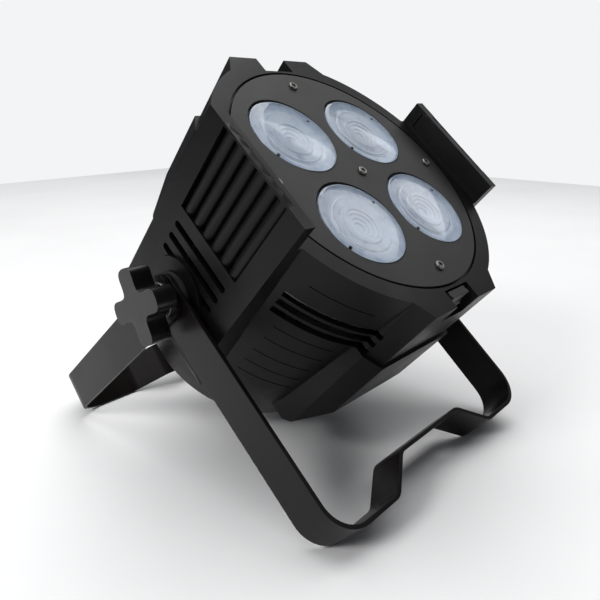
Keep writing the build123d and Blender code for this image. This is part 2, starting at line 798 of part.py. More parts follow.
with BuildPart() as power_inlet:
    with BuildSketch(across(rear_z)):
        with Locations(inlet_place):
            RectangleRounded(*inlet_flange, 2)
    extrude(amount=-2.5)
    with BuildSketch(across(rear_z)):
        with Locations(inlet_place):
            Rectangle(*inlet_body)
    extrude(amount=inlet_depth)
    with BuildSketch(across(rear_z - 2.5)):
        with Locations(inlet_place):
            RectangleRounded(inlet_body[0] - 3, inlet_body[1] - 3, 2)
    extrude(amount=18, mode=Mode.SUBTRACT)
    with BuildSketch(across(rear_z + pin_recess)):
        with Locations(inlet_place):
            with GridLocations(7, 7, 3, 1):
                Rectangle(2, 4)
    extrude(amount=18 - pin_recess)
finish(power_inlet, "power_inlet")

with BuildPart() as fuse_holder:
    with BuildSketch(across(rear_z)):
        with Locations(fuse_place):
            Circle(fuse_radius + 1.6)
    extrude(amount=-2)
    with BuildSketch(across(rear_z - 2)):
        with Locations(fuse_place):
            Circle(fuse_radius - 0.6)
    extrude(amount=-1.5)
    with BuildSketch(across(rear_z)):
        with Locations(fuse_place):
            Circle(fuse_radius)
    extrude(amount=inlet_depth)
finish(fuse_holder, "fuse_holder")

pin_angles = (150, 30, 270)


def dmx_socket(place):
    """Flanged body of a three-pole round socket."""
    with BuildPart() as socket:
        with BuildSketch(across(rear_z)):
            with Locations(place):
                RectangleRounded(*socket_flange, 2)
        extrude(amount=-2)
        with BuildSketch(across(rear_z)):
            with Locations(place):
                Circle(socket_body_radius)
        extrude(amount=socket_depth)
    return socket


pin_places = [(3.6 * cos(radians(angle)), 3.6 * sin(radians(angle))) for angle in pin_angles]
with BuildPart() as dmx_in_socket:
    add(dmx_socket(socket_place_in).part)
    with BuildSketch(across(rear_z - 2)):
        with Locations(socket_place_in):
            Circle(socket_body_radius - 2)
    extrude(amount=16, mode=Mode.SUBTRACT)
    with BuildSketch(across(rear_z + pin_recess)):
        with Locations(socket_place_in):
            with Locations(*pin_places):
                Circle(1.2)
    extrude(amount=15 - pin_recess)
finish(dmx_in_socket, "dmx_in_socket")

with BuildPart() as dmx_out_socket:
    add(dmx_socket(socket_place_out).part)
    with BuildSketch(across(rear_z - 2)):
        with Locations(socket_place_out):
            Circle(socket_body_radius - 2)
            Circle(socket_body_radius - 3.5, mode=Mode.SUBTRACT)
    extrude(amount=10, mode=Mode.SUBTRACT)
    with BuildSketch(across(rear_z - 2)):
        with Locations(socket_place_out):
            with Locations(*pin_places):
                Circle(1.4)
    extrude(amount=12, mode=Mode.SUBTRACT)
finish(dmx_out_socket, "dmx_out_socket")

with BuildPart() as safety_eye:
    eye_plane = Plane(origin=head_point(0, eye_y, 0), x_dir=HEAD.x_dir, z_dir=SIDE.z_dir)
    with BuildLine(eye_plane) as eye_path:
        FilletPolyline(
            (-eye_span / 2, panel_ledge_z + 2),
            (-eye_span / 2, rear_z - eye_height),
            (eye_span / 2, rear_z - eye_height),
            (eye_span / 2, panel_ledge_z + 2),
            radius=eye_span / 2 - 1,
        )
    with BuildSketch(across(panel_ledge_z + 2)):
        with Locations((-eye_span / 2, eye_y)):
            Circle(eye_wire_radius)
    sweep(path=eye_path.wires()[0])
    with BuildSketch(across(panel_ledge_z)):
        with Locations((-eye_span / 2, eye_y), (eye_span / 2, eye_y)):
            RegularPolygon(2 * eye_wire_radius, 6)
    extrude(amount=3)
finish(safety_eye, "safety_eye")

# ---------------------------------------------------------------------------
# Frame latch, in the bottom pocket of the face
# ---------------------------------------------------------------------------
latch_y = -(pocket_floor_y + 5.5)
latch_pin_z = face_z - pocket_depth + 4.5
latch_pin_radius = 1.5
latch_width = pocket_width - 8
latch_plane = Plane(origin=pivot, x_dir=HEAD.y_dir, z_dir=(1, 0, 0))

with BuildPart() as frame_latch:
    with BuildSketch(latch_plane):
        with Locations((latch_y, latch_pin_z)):
            Circle(2.8)
        with Locations((latch_y, (latch_pin_z + face_z) / 2)):
            Rectangle(2.4, face_z - latch_pin_z - 1)
        with Locations((latch_y + 1.6, face_z - 2)):
            Rectangle(5.6, 2)
        with Locations((latch_y, latch_pin_z)):
            Circle(latch_pin_radius + running_clearance, mode=Mode.SUBTRACT)
    extrude(amount=latch_width / 2, both=True)
finish(frame_latch, "frame_latch")

with BuildPart() as latch_pin:
    with BuildSketch(latch_plane):
        with Locations((latch_y, latch_pin_z)):
            Circle(latch_pin_radius)
    extrude(amount=pocket_width / 2, both=True)
finish(latch_pin, "latch_pin")

# ---------------------------------------------------------------------------
# Yokes, washers, pivot nuts and clamp knobs
# ---------------------------------------------------------------------------
inner_yoke_outer_x = inner_arm_x + strip_thickness
outer_arm_x = inner_yoke_outer_x + arm_gap
outer_yoke_outer_x = outer_arm_x + strip_thickness


def yoke(direction, arm_x, length):
    """A bent flat strip: two arms from the pivot, a foot bar and a raised bolt seat."""
    flat = Plane(origin=pivot, x_dir=(1, 0, 0), z_dir=Vector(1, 0, 0).cross(direction))
    centre_x = arm_x + strip_thickness / 2
    bar = length - strip_thickness / 2
    with BuildPart() as bent:
        with BuildSketch(flat):
            with BuildLine():
                FilletPolyline(
                    (-centre_x, -arm_end),
                    (-centre_x, bar),
                    (-hat_foot_half, bar),
                    (-hat_top_half, bar - hat_height),
                    (hat_top_half, bar - hat_height),
                    (hat_foot_half, bar),
                    (centre_x, bar),
                    (centre_x, -arm_end),
                    radius=[bend_radius] + 4 * [hat_bend_radius] + [bend_radius],
                )
            trace(line_width=strip_thickness)
        extrude(amount=half_strip, both=True)
        arm_axis = Axis(pivot, direction)
        tips = bent.edges().filter_by(Axis.X).sort_by(arm_axis)[:4]
        fillet(tips, arm_end_radius)
        with BuildSketch(side_plane(1).offset(-arm_x - 2 * strip_thickness)):
            Circle(stud_radius + hole_clearance)
        extrude(amount=2 * arm_x + 4 * strip_thickness, mode=Mode.SUBTRACT)
        seat = Plane(origin=pivot + direction * length, x_dir=(1, 0, 0), z_dir=direction)
        with BuildSketch(seat):
            Circle(bolt_radius)
        extrude(amount=-2 * hat_height, mode=Mode.SUBTRACT)
    return bent


finish(yoke(front_yoke_dir, inner_arm_x, front_yoke_length), "front_yoke")
finish(yoke(rear_yoke_dir, outer_arm_x, rear_yoke_length), "rear_yoke")


def both_sides(inner_x, thickness, radius, bore):
    """A ring round the pivot axis on each side of the lamp."""
    with BuildPart() as rings:
        for side in (-1, 1):
            with BuildSketch(side_plane(side).offset(inner_x)):
                Circle(radius)
                Circle(bore, mode=Mode.SUBTRACT)
            extrude(amount=thickness)
    return rings


knob_inner_x = outer_yoke_outer_x + friction_gap + knob_washer_thickness
finish(both_sides(boss_face_x, washer_thickness, washer_radius, stud_radius + hole_clearance),
       "friction_washers")
finish(both_sides(inner_yoke_outer_x + friction_gap, arm_gap - 2 * friction_gap, washer_radius - 4,
                  stud_radius + hole_clearance), "arm_washers")
finish(both_sides(outer_yoke_outer_x + friction_gap, knob_washer_thickness - friction_gap,
                  washer_radius - 5, stud_radius + hole_clearance), "knob_washers")

nut_x = side_x - 2 * wall - nut_thickness
with BuildPart() as pivot_nuts:
    for side in (-1, 1):
        with BuildSketch(side_plane(side).offset(nut_x)):
            RegularPolygon(nut_radius, 6)
            Circle(stud_radius + running_clearance, mode=Mode.SUBTRACT)
        extrude(amount=nut_thickness)
finish(pivot_nuts, "pivot_nuts")

knob_face_x = knob_inner_x + knob_hub_height + knob_thickness
for side, side_name in ((-1, "left"), (1, "right")):
    with BuildPart() as knob:
        with BuildSketch(side_plane(side).offset(knob_inner_x)):
            Circle(knob_core_radius - 3)
        extrude(amount=knob_hub_height)
        with BuildSketch(side_plane(side).offset(knob_inner_x + knob_hub_height)) as lobes:
            Circle(knob_core_radius)
            with PolarLocations(knob_radius - knob_lobe_radius, 4):
                Circle(knob_lobe_radius)
                with Locations((-knob_lobe_radius, 0)):
                    Rectangle(2 * knob_lobe_radius, 1.5 * knob_lobe_radius)
            fillet(lobes.vertices().group_by(SortBy.DISTANCE)[0], 3)
        extrude(amount=knob_thickness)
        with BuildSketch(side_plane(side).offset(knob_face_x)):
            Circle(knob_core_radius - 4)
        extrude(amount=-2, mode=Mode.SUBTRACT)
        with BuildSketch(side_plane(side).offset(knob_inner_x)):
            Circle(stud_radius + stud_sleeve)
        extrude(amount=stud_reach, mode=Mode.SUBTRACT)
    finish(knob, f"{side_name}_knob")

    with BuildPart() as stud:
        with BuildSketch(side_plane(side).offset(nut_x - 1)):
            Circle(stud_radius)
        extrude(amount=knob_inner_x + stud_reach - nut_x + 1)
        with BuildSketch(side_plane(side).offset(knob_inner_x)):
            Circle(stud_radius + stud_sleeve)
        extrude(amount=stud_reach)
    finish(stud, f"{side_name}_knob_stud")
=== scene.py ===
import json
from math import atan2, cos, degrees, radians, sin

import bpy
from mathutils import Matrix, Vector

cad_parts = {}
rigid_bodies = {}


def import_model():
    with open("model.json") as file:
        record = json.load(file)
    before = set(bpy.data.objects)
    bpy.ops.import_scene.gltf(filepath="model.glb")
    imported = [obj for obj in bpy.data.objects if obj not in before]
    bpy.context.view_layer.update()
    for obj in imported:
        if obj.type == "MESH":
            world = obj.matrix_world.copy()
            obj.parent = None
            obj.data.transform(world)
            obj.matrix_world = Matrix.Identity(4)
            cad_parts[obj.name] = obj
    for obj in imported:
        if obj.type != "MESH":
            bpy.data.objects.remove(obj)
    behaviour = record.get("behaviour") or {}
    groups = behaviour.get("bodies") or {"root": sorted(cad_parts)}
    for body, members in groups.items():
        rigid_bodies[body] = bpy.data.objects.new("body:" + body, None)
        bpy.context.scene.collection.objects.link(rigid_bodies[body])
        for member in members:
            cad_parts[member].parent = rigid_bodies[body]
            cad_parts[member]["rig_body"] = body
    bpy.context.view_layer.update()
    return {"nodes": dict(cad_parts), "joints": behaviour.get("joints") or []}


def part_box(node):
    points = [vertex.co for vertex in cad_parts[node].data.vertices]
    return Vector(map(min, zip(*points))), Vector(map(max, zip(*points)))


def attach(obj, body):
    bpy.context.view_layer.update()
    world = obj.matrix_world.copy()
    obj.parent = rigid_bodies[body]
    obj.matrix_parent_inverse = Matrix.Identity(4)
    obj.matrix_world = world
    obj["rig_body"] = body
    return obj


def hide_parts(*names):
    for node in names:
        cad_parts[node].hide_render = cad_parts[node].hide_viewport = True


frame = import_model()
nodes = frame["nodes"]
mm = 0.001

# ---------------------------------------------------------------------------
# The set: a pale sweep of floor in a white studio, with one large softbox
# overhead and two smaller ones that draw the edges of the black parts.
# ---------------------------------------------------------------------------
scene = bpy.context.scene
scene.view_settings.view_transform = "Standard"
scene.view_settings.look = "None"


def linear(hex_colour):
    """An sRGB hex colour as linear red, green and blue, with full alpha."""
    parts = [int(hex_colour[i:i + 2], 16) / 255 for i in (1, 3, 5)]
    return [p / 12.92 if p <= 0.04045 else ((p + 0.055) / 1.055) ** 2.4
            for p in parts] + [1]


def add(owner, kind, sockets, **settings):
    """Add a node to a material or world, with its settings, its values and its links."""
    node = owner.node_tree.nodes.new(kind)
    for name, value in settings.items():
        setattr(node, name, value)
    for name, value in sockets.items():
        if isinstance(value, bpy.types.NodeSocket):
            owner.node_tree.links.new(value, node.inputs[name])
        else:
            node.inputs[name].default_value = value
    return node


def new_material(name):
    """An empty node material."""
    material = bpy.data.materials.new(name)
    material.use_nodes = True
    material.node_tree.nodes.clear()
    return material


def close(material, **values):
    """Close a material with a Principled surface; a name's underscores stand for spaces."""
    sockets = {name.replace("_", " "): value for name, value in values.items()}
    surface = add(material, "ShaderNodeBsdfPrincipled", sockets)
    add(material, "ShaderNodeOutputMaterial", {"Surface": surface.outputs["BSDF"]})
    return material


def grained(name, colours, grain, relief, gloss, patch, **values):
    """A skin with a raised grain, drifting between two colours and two roughnesses.

    In metres: grain and relief are the grain's width and height, patch is the drift's width."""
    material = new_material(name)
    place = add(material, "ShaderNodeTexCoord", {})
    pebble = add(material, "ShaderNodeTexNoise",
                 {"Vector": place.outputs["Object"], "Scale": 1 / grain, "Detail": 3,
                  "Roughness": 0.6})
    cloud = add(material, "ShaderNodeTexNoise",
                {"Vector": place.outputs["Object"], "Scale": 1 / patch, "Detail": 5,
                 "Roughness": 0.6})
    colour = add(material, "ShaderNodeValToRGB", {"Fac": cloud.outputs["Fac"]})
    cloud_low, cloud_high = 0.35, 0.65
    for element, position, shade in zip(colour.color_ramp.elements, (cloud_low, cloud_high), colours):
        element.position = position
        element.color = linear(shade)
    rough = add(material, "ShaderNodeMapRange",
                {"Value": cloud.outputs["Fac"], "From Min": cloud_low, "From Max": cloud_high,
                 "To Min": gloss[0], "To Max": gloss[1]})
    bump = add(material, "ShaderNodeBump",
               {"Strength": 0.6, "Distance": relief, "Height": pebble.outputs["Fac"]})
    return close(material, Base_Color=colour.outputs["Color"], Roughness=rough.outputs["Result"],
                 Normal=bump.outputs["Normal"], **values)


# Matte paper: a faint fibre, no gloss. Real fibres are finer, and are drawn 2 mm long.
paper = grained("Seamless_Paper_White", ("#f6f6f6", "#fafafa"), 2 * mm, 0.02 * mm, (0.88, 0.95),
                300 * mm)

floor_side = 3.4
bpy.ops.object.select_all(action="DESELECT")
bpy.ops.mesh.primitive_plane_add(size=floor_side)
floor = bpy.context.active_object
floor.name = "studio_floor"
floor.data.materials.append(paper)

# The walls look white, but give little light, so that the black parts stay black.
studio = bpy.data.worlds.new("studio")
studio.use_nodes = True
studio.node_tree.nodes.clear()
seen_walls = add(studio, "ShaderNodeBackground", {"Color": linear("#f3f4f5"), "Strength": 1.0})
dim_walls = add(studio, "ShaderNodeBackground", {"Color": linear("#eef2fb"), "Strength": 0.12})
sight = add(studio, "ShaderNodeLightPath", {})
walls = add(studio, "ShaderNodeMixShader",
            {0: sight.outputs["Is Camera Ray"], 1: dim_walls.outputs[0], 2: seen_walls.outputs[0]})
add(studio, "ShaderNodeOutputWorld", {"Surface": walls.outputs[0]})
scene.world = studio

joints = {joint["name"]: joint for joint in frame["joints"]}
pivot = Vector(joints["front_yoke_tilt"]["pos_m"])


def softbox(name, place, size, watts):
    """A square area light aimed at the pivot; place is measured from the pivot."""
    light = bpy.data.lights.new(name, "AREA")
    light.size = size
    light.energy = watts
    lamp = bpy.data.objects.new(name, light)
    lamp.location = pivot + Vector(place)
    lamp.rotation_euler = (-Vector(place)).to_track_quat("-Z", "Y").to_euler()
    scene.collection.objects.link(lamp)


softbox("overhead_softbox", (0.3, 0.6, 2.6), 3.4, 84)
softbox("right_softbox", (1.1, -0.35, 1.05), 0.8, 3)
softbox("left_softbox", (-1.3, 0.1, 0.9), 0.5, 11)

# The camera stands half a metre off, above the near knob, and looks down at 18 degrees.
camera_place = (-0.33078, -0.30467, 0.24875)
camera_aim = Vector((0.71113, 0.62911, -0.31387))
camera_data = bpy.data.cameras.new("camera")
camera_data.lens = 35.87
camera = bpy.data.objects.new("camera", camera_data)
camera.location = camera_place
camera.rotation_euler = camera_aim.to_track_quat("-Z", "Y").to_euler()
scene.collection.objects.link(camera)
scene.camera = camera

# ---------------------------------------------------------------------------
# Housing halves: two injection-moulded ABS shells, black in the pellet, with
# a spark-eroded texture. They meet on a seam and carry everything else.
# ---------------------------------------------------------------------------
# Satin black: broad soft highlights over a fine pebble. The real pebble is
# 0.15 mm across; it is drawn at 0.7 mm so that it shows.
abs_black = grained("ABS_Moulded_Spark_Textured", ("#080808", "#0d0c0c"), 0.7 * mm, 0.03 * mm,
                    (0.36, 0.46), 35 * mm, IOR=1.5, Specular_IOR_Level=0.2)


def round_edges(piece, edge, segments=2, turn=30, smooth=30):
    """Round a piece's edges sharper than turn, and keep its flat faces flat to the light."""
    rounding = piece.modifiers.new("rounding", "BEVEL")
    rounding.width = edge
    rounding.segments = segments
    rounding.limit_method = "ANGLE"
    rounding.angle_limit = radians(turn)
    bpy.ops.object.modifier_apply(modifier=rounding.name)
    bpy.ops.object.shade_smooth_by_angle(angle=radians(smooth))
    flats = piece.modifiers.new("flats", "WEIGHTED_NORMAL")
    flats.keep_sharp = True
    bpy.ops.object.modifier_apply(modifier=flats.name)


def soften(name, edge, material):
    """Stand a merged, edge-rounded copy of a CAD piece in for its node."""
    bpy.ops.object.select_all(action="DESELECT")
    piece = bpy.data.objects.new(f"{name}_finished", nodes[name].data.copy())
    scene.collection.objects.link(piece)
    piece.select_set(True)
    bpy.context.view_layer.objects.active = piece
    bpy.ops.object.mode_set(mode="EDIT")
    bpy.ops.mesh.select_all(action="SELECT")
    bpy.ops.mesh.remove_doubles(threshold=0.001 * mm)
    bpy.ops.mesh.dissolve_limited(angle_limit=radians(0.5))
    bpy.ops.object.mode_set(mode="OBJECT")
    round_edges(piece, edge)
    piece.data.materials.clear()
    piece.data.materials.append(material)
    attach(piece, nodes[name]["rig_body"])
    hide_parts(name)
    return piece


for half in ("left_shell", "right_shell"):
    soften(half, 0.6 * mm, abs_black)

# The brow that shuts each fluted window at the guide's edge: a moulded bar
# across the ends of the flutes, level with the side. Head sizes run along the
# pivot axis, up across the head, and along the beam, from the pivot.
beam = Vector(joints["fan_spin"]["axis"])
upwards = beam.cross(Vector((1, 0, 0)))
head_place = Matrix((Vector((1, 0, 0)), upwards, beam)).transposed().to_4x4()
head_place.translation = pivot
to_head = head_place.inverted()
brow_depth, brow_height, brow_half_length = 5 * mm, 1.8 * mm, 30.5 * mm
for half, side in (("left_shell", -1), ("right_shell", 1)):
    outline = [to_head @ vertex.co for vertex in nodes[half].data.vertices]
    guide_edge = max(point.z for point in outline)
    side_face = max(abs(point.x) for point in outline if point.z > guide_edge - 1 * mm)
    bpy.ops.object.select_all(action="DESELECT")
    bpy.ops.mesh.primitive_cube_add(size=1)
    brow = bpy.context.active_object
    brow.name = half.replace("shell", "window_brow")
    bpy.ops.object.mode_set(mode="EDIT")
    bpy.ops.mesh.select_all(action="SELECT")
    bpy.ops.transform.resize(value=(brow_depth, 2 * brow_half_length, brow_height))
    bpy.ops.mesh.bevel(offset=0.5 * mm, segments=3, affect="EDGES")
    bpy.ops.transform.translate(value=(side * (side_face - brow_depth / 2), 0,
                                       guide_edge - brow_height / 2))
    bpy.ops.object.mode_set(mode="OBJECT")
    bpy.ops.object.shade_smooth_by_angle(angle=radians(30))
    brow.data.transform(head_place)
    brow.data.materials.append(abs_black)
    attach(brow, "head")

# ---------------------------------------------------------------------------
# Chassis: a galvanised steel disc on the rear posts, with the power supply
# and lamp driver boards on hexagonal standoffs.
# ---------------------------------------------------------------------------
# Hot-dip zinc: flat crystals (spangle) 6 mm wide, each with its own sheen.
galvanised = new_material("Steel_Galvanised_Spangle")
zinc_place = add(galvanised, "ShaderNodeTexCoord", {})
spangle = add(galvanised, "ShaderNodeTexVoronoi",
              {"Vector": zinc_place.outputs["Object"], "Scale": 1 / (6 * mm)})
spangle_colour = add(galvanised, "ShaderNodeValToRGB", {"Fac": spangle.outputs["Color"]})
spangle_colour.color_ramp.elements[0].color = linear("#8b9094")
spangle_colour.color_ramp.elements[1].color = linear("#b4b9bc")
spangle_gloss = add(galvanised, "ShaderNodeMapRange",
                    {"Value": spangle.outputs["Color"], "To Min": 0.28, "To Max": 0.5})
close(galvanised, Base_Color=spangle_colour.outputs["Color"],
      Roughness=spangle_gloss.outputs["Result"], Metallic=1.0)

# Bright zinc plate over rolled or turned steel: cool, slightly milky, scuffed.
zinc_plate = grained("Steel_Zinc_Plated", ("#a9adb2", "#c2c5c9"), 0.5 * mm, 0.01 * mm,
                     (0.25, 0.42), 4 * mm, Metallic=1.0)

# Glass-fibre board under glossy green solder mask, with paler lines of tracks
# 2 mm apart that stand up by the copper's thickness.
solder_mask = new_material("FR4_Solder_Mask_Green")
mask_place = add(solder_mask, "ShaderNodeTexCoord", {})
tracks = add(solder_mask, "ShaderNodeTexBrick",
             {"Vector": mask_place.outputs["Object"], "Scale": 1 / (8 * mm), "Mortar Size": 0.06,
              "Color1": linear("#0d4a24"), "Color2": linear("#0f5229"), "Mortar": linear("#2c7a45")},
             offset=0.37, squash=0.6)
track_bump = add(solder_mask, "ShaderNodeBump",
                 {"Strength": 0.5, "Distance": 0.035 * mm, "Height": tracks.outputs["Fac"]})
close(solder_mask, Base_Color=tracks.outputs["Color"], Roughness=0.3, Coat_Weight=0.3,
      Normal=track_bump.outputs["Normal"])

# Potting, tape and sleeve on wound parts and capacitors: dark and semi-gloss.
component_sleeve = grained("Epoxy_And_Sleeve_Dark", ("#131318", "#22222b"), 0.8 * mm, 0.02 * mm,
                           (0.3, 0.45), 5 * mm, IOR=1.55)

soften("chassis_plate", 0.2 * mm, galvanised)
for name in ("chassis_screws", "board_screws", "board_standoffs"):
    soften(name, 0.15 * mm, zinc_plate)
for name in ("power_board", "driver_board", "control_board"):
    soften(name, 0.15 * mm, solder_mask)
for name in ("power_transformer", "power_capacitors", "driver_chokes"):
    soften(name, 0.6 * mm, component_sleeve)

# ---------------------------------------------------------------------------
# Cooling fan: a glass-filled nylon frame and rotor, screwed up into the fins.
# ---------------------------------------------------------------------------
# Dull black, with the faint mottle that glass fibre leaves near the surface.
nylon_black = grained("Nylon_Glass_Filled_Black", ("#141414", "#1c1c1d"), 0.5 * mm, 0.03 * mm,
                      (0.45, 0.6), 18 * mm, IOR=1.53)
soften("fan_frame", 0.4 * mm, nylon_black)
soften("fan_rotor", 0.3 * mm, nylon_black)
soften("fan_screws", 0.15 * mm, zinc_plate)

# ---------------------------------------------------------------------------
# Heat sink: an extruded aluminium disc with fins, screwed to the front posts,
# and the standoffs that carry the face plate.
# ---------------------------------------------------------------------------
# Mill finish: pale satin metal, with fine die lines along the beam. They are
# drawn 0.5 mm apart so that they show.
extruded = new_material("Aluminium_Extruded_Mill")
die_place = add(extruded, "ShaderNodeTexCoord", {})
die_turn = add(extruded, "ShaderNodeMapping",
               {"Vector": die_place.outputs["Object"], "Rotation": (-head_place.to_euler().x, 0, 0),
                "Scale": (1, 1, 0.02)})
die_lines = add(extruded, "ShaderNodeTexNoise",
                {"Vector": die_turn.outputs["Vector"], "Scale": 1 / (0.5 * mm), "Detail": 2})
die_gloss = add(extruded, "ShaderNodeMapRange",
                {"Value": die_lines.outputs["Fac"], "To Min": 0.3, "To Max": 0.5})
die_bump = add(extruded, "ShaderNodeBump",
               {"Strength": 0.4, "Distance": 0.01 * mm, "Height": die_lines.outputs["Fac"]})
close(extruded, Base_Color=linear("#b9bcbf"), Roughness=die_gloss.outputs["Result"], Metallic=1.0,
      Normal=die_bump.outputs["Normal"])

soften("heat_sink", 0.3 * mm, extruded)
for name in ("heat_sink_screws", "face_standoffs"):
    soften(name, 0.15 * mm, zinc_plate)

# ---------------------------------------------------------------------------
# Lamps: four chip-on-board LEDs, each a white alumina tile with a round pool
# of silicone full of yellow phosphor.
# ---------------------------------------------------------------------------
# Fired ceramic: warm white and even, with a soft glaze.
alumina = grained("Alumina_Sintered_White", ("#e6e3da", "#efece4"), 0.3 * mm, 0.005 * mm,
                  (0.35, 0.5), 6 * mm, IOR=1.7)
# Set silicone: egg yellow, wet-looking, cloudy where the phosphor settles.
phosphor = grained("Silicone_Phosphor_Yellow", ("#e3c443", "#ecd25e"), 0.4 * mm, 0.01 * mm,
                   (0.25, 0.35), 3 * mm, IOR=1.41)
pool_depth = 0.5 * mm
lens_numbers = (1, 2, 3, 4)
for number in lens_numbers:
    tile = soften(f"cob_led_{number}", 0.15 * mm, alumina)
    tile.data.materials.append(phosphor)
    chip_top = max((to_head @ vertex.co).z for vertex in tile.data.vertices)
    bpy.ops.object.mode_set(mode="EDIT")
    bpy.ops.mesh.select_all(action="DESELECT")
    bpy.ops.object.mode_set(mode="OBJECT")
    for face in tile.data.polygons:
        face.select = (to_head @ face.center).z > chip_top - pool_depth
    bpy.ops.object.mode_set(mode="EDIT")
    tile.active_material_index = 1
    bpy.ops.object.material_slot_assign()
    bpy.ops.object.mode_set(mode="OBJECT")

# ---------------------------------------------------------------------------
# Lens holders: black nylon tubes that stand on the heat sink and press each
# lens's flange up against the face plate.
# ---------------------------------------------------------------------------
for number in lens_numbers:
    soften(f"lens_holder_{number}", 0.3 * mm, nylon_black)

# ---------------------------------------------------------------------------
# Lenses: moulded acrylic collimators. A clear cap with a low dome stands in
# the face plate's hole, on a frosted white body with terraced rings.
# ---------------------------------------------------------------------------
# Polished acrylic: water clear, hard gloss, with a very slight moulded wave.
acrylic_clear = grained("Acrylic_Moulded_Clear", ("#f4f9ff", "#fbfdff"), 3 * mm, 0.004 * mm, (0.02, 0.05),
                        20 * mm, IOR=1.49, Transmission_Weight=1.0)
# Acrylic with a blasted face: scatters to an even, cold white.
acrylic_frosted = grained("Acrylic_Moulded_Frosted", ("#c4d2e6", "#dce8f6"), 0.9 * mm, 0.02 * mm, (0.25, 0.4),
                          9 * mm, IOR=1.49, Coat_Weight=0.4)


def head_centre(name):
    """The middle of a CAD node in head sizes: across, up and along the beam."""
    low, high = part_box(name)
    return to_head @ ((low + high) / 2)


def turned(name, stations, material, sides=96):
    """A round piece about the beam: a cylinder whose top is drawn on ring by ring.

    stations are (radius, height along the beam), from the foot's rim to the last ring."""
    (foot_radius, foot), (radius, height) = stations[:2]
    bpy.ops.object.select_all(action="DESELECT")
    bpy.ops.mesh.primitive_cylinder_add(vertices=sides, radius=foot_radius, depth=height - foot,
                                        location=(0, 0, (foot + height) / 2))
    piece = bpy.context.active_object
    piece.name = name
    bpy.ops.object.transform_apply(location=True)
    bpy.ops.object.mode_set(mode="EDIT")
    bpy.ops.mesh.select_all(action="DESELECT")
    bpy.ops.object.mode_set(mode="OBJECT")
    max(piece.data.polygons, key=lambda face: face.center.z).select = True
    bpy.ops.object.mode_set(mode="EDIT")
    draw_in = radius / foot_radius
    bpy.ops.transform.resize(value=(draw_in, draw_in, 1), center_override=(0, 0, 0))
    for next_radius, next_height in stations[2:]:
        rise = next_height - height
        bpy.ops.mesh.extrude_region_move(TRANSFORM_OT_translate={"value": (0, 0, rise)})
        draw_in = next_radius / radius
        bpy.ops.transform.resize(value=(draw_in, draw_in, 1), center_override=(0, 0, 0))
        radius, height = next_radius, next_height
    bpy.ops.object.mode_set(mode="OBJECT")
    bpy.ops.object.shade_smooth_by_angle(angle=radians(28))
    piece.data.materials.append(material)
    return piece


def along_beam(name):
    """Where a CAD node starts and ends along the beam, from the pivot."""
    heights = [(to_head @ vertex.co).z for vertex in nodes[name].data.vertices]
    return min(heights), max(heights)


lens_foot, lens_top = along_beam("lens_1")
plate_back, plate_front = along_beam("face_plate")
lens_radius = 31.9 * mm
flange_radius = 34.1 * mm
cap_foot = plate_back - 1.5 * mm
crown = lens_top - plate_front - 0.1 * mm
dome = [(lens_radius * cos(radians(step)), plate_front + crown * sin(radians(step)))
        for step in (0, 12, 25, 40, 55, 68, 80, 88)]
cap = turned("lens_1_cap", [(flange_radius, cap_foot), (lens_radius, plate_back), *dome], acrylic_clear)

# The optic flares up from the LED. In the mouth are a white rim close under the
# cap, a bowl, a step, then four terraces down to the middle. Radius and depth
# below the plate's face, in millimetres.
flare = [(12 * mm, lens_foot), (12.5 * mm, lens_foot + 1 * mm), (29.4 * mm, plate_front - 9 * mm)]
mouth = [(31.3, 0.9), (30.7, 0.9), (29.6, 2.6), (25.0, 4.3), (21.5, 5.0), (20.9, 4.4), (16.2, 5.1),
         (15.0, 5.4), (14.5, 4.6), (12.2, 4.9), (11.8, 5.6), (9.4, 5.8), (9.0, 6.5), (6.6, 6.7),
         (6.2, 7.4), (3.8, 7.6), (3.4, 8.3), (1.2, 8.4)]
rings = [(radius * mm, plate_front - depth * mm) for radius, depth in mouth]
optic = turned("lens_1_optic", flare + rings, acrylic_frosted)

# Two black clips hold each optic, seen as dark spots opposite each other near the rim.
clip_nylon = grained("Nylon_Clip_Black", ("#0b0b0d", "#121215"), 0.3 * mm, 0.01 * mm, (0.4, 0.5),
                     3 * mm, IOR=1.53)
clip_radius, clip_depth, clip_bearing = 27.6 * mm, 2.9 * mm, radians(28)
bpy.ops.object.select_all(action="DESELECT")
bpy.ops.mesh.primitive_cube_add(size=1)
clips = bpy.context.active_object
clips.name = "lens_1_clips"
bpy.ops.object.mode_set(mode="EDIT")
bpy.ops.mesh.select_all(action="SELECT")
bpy.ops.transform.resize(value=(1.6 * mm, 2.0 * mm, 1.2 * mm))
bpy.ops.mesh.bevel(offset=0.25 * mm, segments=2, affect="EDGES")
bpy.ops.transform.translate(value=(clip_radius, 0, plate_front - clip_depth))
bpy.ops.mesh.duplicate()
bpy.ops.transform.translate(value=(-2 * clip_radius, 0, 0))
bpy.ops.object.mode_set(mode="OBJECT")
bpy.ops.object.shade_smooth_by_angle(angle=radians(30))
clips.data.transform(Matrix.Rotation(clip_bearing, 4, "Z"))
clips.data.materials.append(clip_nylon)

for number in lens_numbers:
    centre = head_centre(f"lens_{number}")
    seat_here = head_place @ Matrix.Translation((centre.x, centre.y, 0))
    for model in (cap, optic, clips):
        name = model.name.replace("lens_1", f"lens_{number}_fitted")
        piece = bpy.data.objects.new(name, model.data.copy())
        scene.collection.objects.link(piece)
        piece.data.transform(seat_here)
        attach(piece, "head")
        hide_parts(f"lens_{number}")
for model in (cap, optic, clips):
    bpy.data.objects.remove(model)

